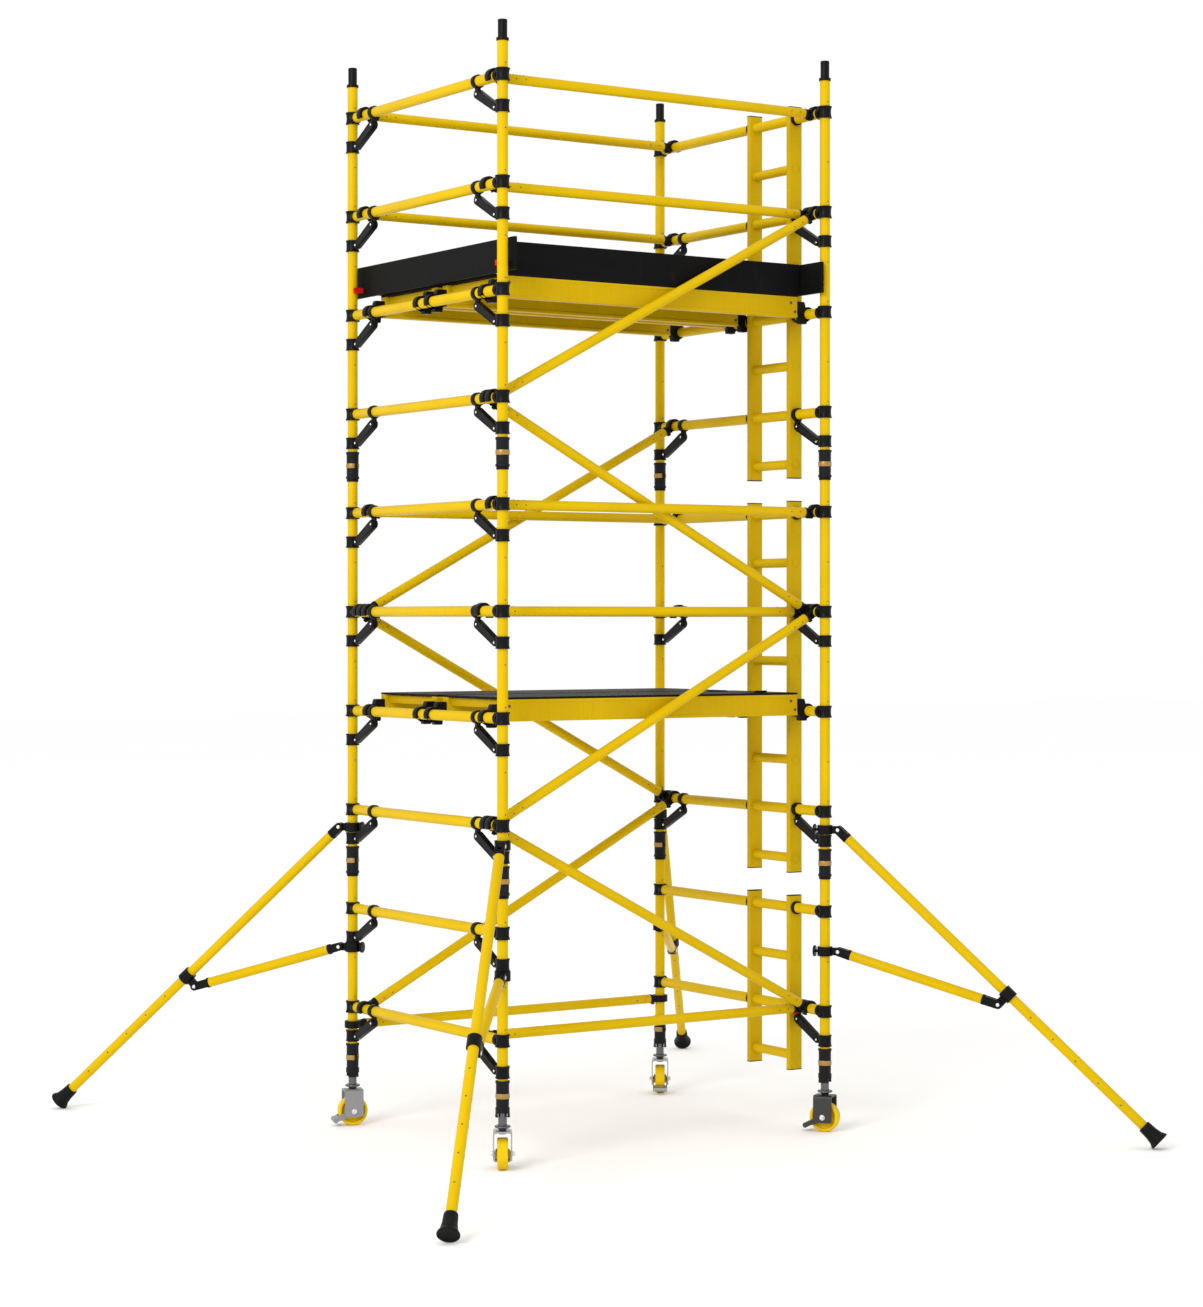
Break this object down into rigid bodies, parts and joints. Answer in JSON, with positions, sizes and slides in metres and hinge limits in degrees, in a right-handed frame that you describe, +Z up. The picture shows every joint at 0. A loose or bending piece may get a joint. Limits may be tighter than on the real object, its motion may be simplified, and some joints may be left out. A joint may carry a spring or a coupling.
{
  "type": "mobile tower scaffold",
  "caption": "Mobile access tower with yellow glass-fibre end frames, platforms with trapdoors, castors and stabilisers.",
  "frame": {"origin": "on the ground under the middle of the tower", "axes": "+Z up, +X along the platforms towards the ladder end frame, +Y across the end frames from front to back"},
  "size_m": [4.0726, 4.133, 5.3645],
  "materials": {
    "yellow_glass_fibre": "satin",
    "black_nylon": "matte",
    "red_nylon": "satin",
    "zinc_steel": "satin",
    "bronze_clip": "satin",
    "black_deck": "matte",
    "yellow_wheel": "satin"
  },
  "bodies": {
    "tower": {"base_plain_frame": "yellow_glass_fibre", "middle_plain_frame": "yellow_glass_fibre", "top_plain_frame": "yellow_glass_fibre", "base_ladder_frame": "yellow_glass_fibre", "middle_ladder_frame": "yellow_glass_fibre", "top_ladder_frame": "yellow_glass_fibre", "rung_sockets": "black_nylon", "knee_collars": "black_nylon", "knee_links": "black_nylon", "frame_rivets": "zinc_steel", "spigots": "black_nylon", "joint_sleeves": "black_nylon", "interlock_clips": "bronze_clip", "horizontal_braces": "yellow_glass_fibre", "diagonal_braces": "yellow_glass_fibre", "brace_claws": "black_nylon", "claw_triggers": "black_nylon", "platform_beams": "yellow_glass_fibre", "platform_decks": "black_deck", "platform_hooks": "black_nylon", "toe_boards": "black_deck", "toe_board_clips": "red_nylon"},
    "front_left_jack": {"front_left_jack_leg": "zinc_steel"},
    "front_left_nut": {"front_left_jack_nut": "black_nylon"},
    "front_left_fork": {"front_left_castor_fork": "zinc_steel"},
    "front_left_wheel": {"front_left_castor_wheel": "yellow_wheel"},
    "front_left_pedal": {"front_left_brake_pedal": "zinc_steel"},
    "front_left_clamps": {"front_left_stabiliser_clamps": "black_nylon"},
    "front_left_outrigger": {"front_left_stabiliser_leg": "yellow_glass_fibre"},
    "front_left_slider": {"front_left_stabiliser_collar": "black_nylon"},
    "front_left_strut": {"front_left_stabiliser_strut": "yellow_glass_fibre"},
    "front_right_jack": {"front_right_jack_leg": "zinc_steel"},
    "front_right_nut": {"front_right_jack_nut": "black_nylon"},
    "front_right_fork": {"front_right_castor_fork": "zinc_steel"},
    "front_right_wheel": {"front_right_castor_wheel": "yellow_wheel"},
    "front_right_pedal": {"front_right_brake_pedal": "zinc_steel"},
    "front_right_clamps": {"front_right_stabiliser_clamps": "black_nylon"},
    "front_right_outrigger": {"front_right_stabiliser_leg": "yellow_glass_fibre"},
    "front_right_slider": {"front_right_stabiliser_collar": "black_nylon"},
    "front_right_strut": {"front_right_stabiliser_strut": "yellow_glass_fibre"},
    "back_left_jack": {"back_left_jack_leg": "zinc_steel"},
    "back_left_nut": {"back_left_jack_nut": "black_nylon"},
    "back_left_fork": {"back_left_castor_fork": "zinc_steel"},
    "back_left_wheel": {"back_left_castor_wheel": "yellow_wheel"},
    "back_left_pedal": {"back_left_brake_pedal": "zinc_steel"},
    "back_left_clamps": {"back_left_stabiliser_clamps": "black_nylon"},
    "back_left_outrigger": {"back_left_stabiliser_leg": "yellow_glass_fibre"},
    "back_left_slider": {"back_left_stabiliser_collar": "black_nylon"},
    "back_left_strut": {"back_left_stabiliser_strut": "yellow_glass_fibre"},
    "back_right_jack": {"back_right_jack_leg": "zinc_steel"},
    "back_right_nut": {"back_right_jack_nut": "black_nylon"},
    "back_right_fork": {"back_right_castor_fork": "zinc_steel"},
    "back_right_wheel": {"back_right_castor_wheel": "yellow_wheel"},
    "back_right_pedal": {"back_right_brake_pedal": "zinc_steel"},
    "back_right_clamps": {"back_right_stabiliser_clamps": "black_nylon"},
    "back_right_outrigger": {"back_right_stabiliser_leg": "yellow_glass_fibre"},
    "back_right_slider": {"back_right_stabiliser_collar": "black_nylon"},
    "back_right_strut": {"back_right_stabiliser_strut": "yellow_glass_fibre"},
    "lower_trap": {"lower_trapdoor": "black_deck"},
    "upper_trap": {"upper_trapdoor": "black_deck"}
  },
  "joints": [
    {"name": "front_left_height", "type": "slide", "parent": "tower", "child": "front_left_jack", "axis": [0, 0, -1], "range_m": [0, 0.2]},
    {"name": "front_left_nut_turn", "type": "hinge", "parent": "tower", "child": "front_left_nut", "pos_m": [-0.945, -0.7325, 0.26], "axis": [0, 0, 1], "range_deg": [0, 6000]},
    {"name": "front_left_swivel", "type": "hinge", "parent": "front_left_jack", "child": "front_left_fork", "pos_m": [-0.945, -0.7325, 0.18], "axis": [0, 0, 1], "continuous": true},
    {"name": "front_left_roll", "type": "hinge", "parent": "front_left_fork", "child": "front_left_wheel", "pos_m": [-0.945, -0.7325, 0.075], "axis": [-0.8572, 0.515, 0], "continuous": true},
    {"name": "front_left_brake", "type": "hinge", "parent": "front_left_fork", "child": "front_left_pedal", "pos_m": [-0.945, -0.7325, 0.075], "axis": [0.8572, -0.515, 0], "range_deg": [0, 30]},
    {"name": "front_left_clamp_turn", "type": "hinge", "parent": "tower", "child": "front_left_clamps", "pos_m": [-0.945, -0.7325, 1.2], "axis": [0, 0, 1], "range_deg": [-35, 35]},
    {"name": "front_left_outrigger_lift", "type": "hinge", "parent": "front_left_clamps", "child": "front_left_outrigger", "pos_m": [-0.98905, -0.7869, 1.5125], "axis": [-0.7771, 0.6293, 0], "range_deg": [0, 20]},
    {"name": "front_left_slider_slide", "type": "slide", "parent": "front_left_outrigger", "child": "front_left_slider", "axis": [-0.4618, -0.5702, -0.6794], "range_m": [-0.2524, 0.005]},
    {"name": "front_left_strut_swing", "type": "hinge", "parent": "front_left_clamps", "child": "front_left_strut", "pos_m": [-0.98905, -0.7869, 0.9035], "axis": [-0.7771, 0.6293, 0], "range_deg": [-1, 31]},
    {"name": "front_right_height", "type": "slide", "parent": "tower", "child": "front_right_jack", "axis": [0, 0, -1], "range_m": [0, 0.2]},
    {"name": "front_right_nut_turn", "type": "hinge", "parent": "tower", "child": "front_right_nut", "pos_m": [0.945, -0.7325, 0.26], "axis": [0, 0, 1], "range_deg": [0, 6000]},
    {"name": "front_right_swivel", "type": "hinge", "parent": "front_right_jack", "child": "front_right_fork", "pos_m": [0.945, -0.7325, 0.18], "axis": [0, 0, 1], "continuous": true},
    {"name": "front_right_roll", "type": "hinge", "parent": "front_right_fork", "child": "front_right_wheel", "pos_m": [0.945, -0.7325, 0.075], "axis": [-0.8241, -0.5664, 0], "continuous": true},
    {"name": "front_right_brake", "type": "hinge", "parent": "front_right_fork", "child": "front_right_pedal", "pos_m": [0.945, -0.7325, 0.075], "axis": [0.8241, 0.5664, 0], "range_deg": [0, 30]},
    {"name": "front_right_clamp_turn", "type": "hinge", "parent": "tower", "child": "front_right_clamps", "pos_m": [0.945, -0.7325, 1.2], "axis": [0, 0, 1], "range_deg": [-35, 35]},
    {"name": "front_right_outrigger_lift", "type": "hinge", "parent": "front_right_clamps", "child": "front_right_outrigger", "pos_m": [0.98905, -0.7869, 1.5125], "axis": [-0.7771, -0.6293, 0], "range_deg": [0, 20]},
    {"name": "front_right_slider_slide", "type": "slide", "parent": "front_right_outrigger", "child": "front_right_slider", "axis": [0.4618, -0.5702, -0.6794], "range_m": [-0.2524, 0.005]},
    {"name": "front_right_strut_swing", "type": "hinge", "parent": "front_right_clamps", "child": "front_right_strut", "pos_m": [0.98905, -0.7869, 0.9035], "axis": [-0.7771, -0.6293, 0], "range_deg": [-1, 31]},
    {"name": "back_left_height", "type": "slide", "parent": "tower", "child": "back_left_jack", "axis": [0, 0, -1], "range_m": [0, 0.2]},
    {"name": "back_left_nut_turn", "type": "hinge", "parent": "tower", "child": "back_left_nut", "pos_m": [-0.945, 0.7325, 0.26], "axis": [0, 0, 1], "range_deg": [0, 6000]},
    {"name": "back_left_swivel", "type": "hinge", "parent": "back_left_jack", "child": "back_left_fork", "pos_m": [-0.945, 0.7325, 0.18], "axis": [0, 0, 1], "continuous": true},
    {"name": "back_left_roll", "type": "hinge", "parent": "back_left_fork", "child": "back_left_wheel", "pos_m": [-0.945, 0.7325, 0.075], "axis": [-0.3007, -0.9537, 0], "continuous": true},
    {"name": "back_left_brake", "type": "hinge", "parent": "back_left_fork", "child": "back_left_pedal", "pos_m": [-0.945, 0.7325, 0.075], "axis": [0.3007, 0.9537, 0], "range_deg": [0, 30]},
    {"name": "back_left_clamp_turn", "type": "hinge", "parent": "tower", "child": "back_left_clamps", "pos_m": [-0.945, 0.7325, 1.2], "axis": [0, 0, 1], "range_deg": [-35, 35]},
    {"name": "back_left_outrigger_lift", "type": "hinge", "parent": "back_left_clamps", "child": "back_left_outrigger", "pos_m": [-0.98905, 0.7869, 1.5125], "axis": [0.7771, 0.6293, 0], "range_deg": [0, 20]},
    {"name": "back_left_slider_slide", "type": "slide", "parent": "back_left_outrigger", "child": "back_left_slider", "axis": [-0.4618, 0.5702, -0.6794], "range_m": [-0.2524, 0.005]},
    {"name": "back_left_strut_swing", "type": "hinge", "parent": "back_left_clamps", "child": "back_left_strut", "pos_m": [-0.98905, 0.7869, 0.9035], "axis": [0.7771, 0.6293, 0], "range_deg": [-1, 31]},
    {"name": "back_right_height", "type": "slide", "parent": "tower", "child": "back_right_jack", "axis": [0, 0, -1], "range_m": [0, 0.2]},
    {"name": "back_right_nut_turn", "type": "hinge", "parent": "tower", "child": "back_right_nut", "pos_m": [0.945, 0.7325, 0.26], "axis": [0, 0, 1], "range_deg": [0, 6000]},
    {"name": "back_right_swivel", "type": "hinge", "parent": "back_right_jack", "child": "back_right_fork", "pos_m": [0.945, 0.7325, 0.18], "axis": [0, 0, 1], "continuous": true},
    {"name": "back_right_roll", "type": "hinge", "parent": "back_right_fork", "child": "back_right_wheel", "pos_m": [0.945, 0.7325, 0.075], "axis": [0.8261, -0.5635, 0], "continuous": true},
    {"name": "back_right_brake", "type": "hinge", "parent": "back_right_fork", "child": "back_right_pedal", "pos_m": [0.945, 0.7325, 0.075], "axis": [-0.8261, 0.5635, 0], "range_deg": [0, 30]},
    {"name": "back_right_clamp_turn", "type": "hinge", "parent": "tower", "child": "back_right_clamps", "pos_m": [0.945, 0.7325, 1.2], "axis": [0, 0, 1], "range_deg": [-35, 35]},
    {"name": "back_right_outrigger_lift", "type": "hinge", "parent": "back_right_clamps", "child": "back_right_outrigger", "pos_m": [0.98905, 0.7869, 1.5125], "axis": [0.7771, -0.6293, 0], "range_deg": [0, 20]},
    {"name": "back_right_slider_slide", "type": "slide", "parent": "back_right_outrigger", "child": "back_right_slider", "axis": [0.4618, 0.5702, -0.6794], "range_m": [-0.2524, 0.005]},
    {"name": "back_right_strut_swing", "type": "hinge", "parent": "back_right_clamps", "child": "back_right_strut", "pos_m": [0.98905, 0.7869, 0.9035], "axis": [0.7771, -0.6293, 0], "range_deg": [-1, 31]},
    {"name": "lower_trapdoor_hinge", "type": "hinge", "parent": "tower", "child": "lower_trap", "pos_m": [0.495, -0.5315, 2.20415], "axis": [1, 0, 0], "range_deg": [0, 88]},
    {"name": "upper_trapdoor_hinge", "type": "hinge", "parent": "tower", "child": "upper_trap", "pos_m": [0.495, -0.5315, 4.20415], "axis": [1, 0, 0], "range_deg": [0, 88]}
  ],
  "couplings": [
    {"joint": "front_left_nut_turn", "follows": "front_left_height", "rad_per_m": 523.6},
    {"joint": "front_left_slider_slide", "follows": "front_left_outrigger_lift", "m_per_rad": -0.70877},
    {"joint": "front_left_strut_swing", "follows": "front_left_outrigger_lift", "ratio": 1.4585},
    {"joint": "front_right_nut_turn", "follows": "front_right_height", "rad_per_m": 523.6},
    {"joint": "front_right_slider_slide", "follows": "front_right_outrigger_lift", "m_per_rad": -0.70877},
    {"joint": "front_right_strut_swing", "follows": "front_right_outrigger_lift", "ratio": 1.4585},
    {"joint": "back_left_nut_turn", "follows": "back_left_height", "rad_per_m": 523.6},
    {"joint": "back_left_slider_slide", "follows": "back_left_outrigger_lift", "m_per_rad": -0.70877},
    {"joint": "back_left_strut_swing", "follows": "back_left_outrigger_lift", "ratio": 1.4585},
    {"joint": "back_right_nut_turn", "follows": "back_right_height", "rad_per_m": 523.6},
    {"joint": "back_right_slider_slide", "follows": "back_right_outrigger_lift", "m_per_rad": -0.70877},
    {"joint": "back_right_strut_swing", "follows": "back_right_outrigger_lift", "ratio": 1.4585}
  ]
}
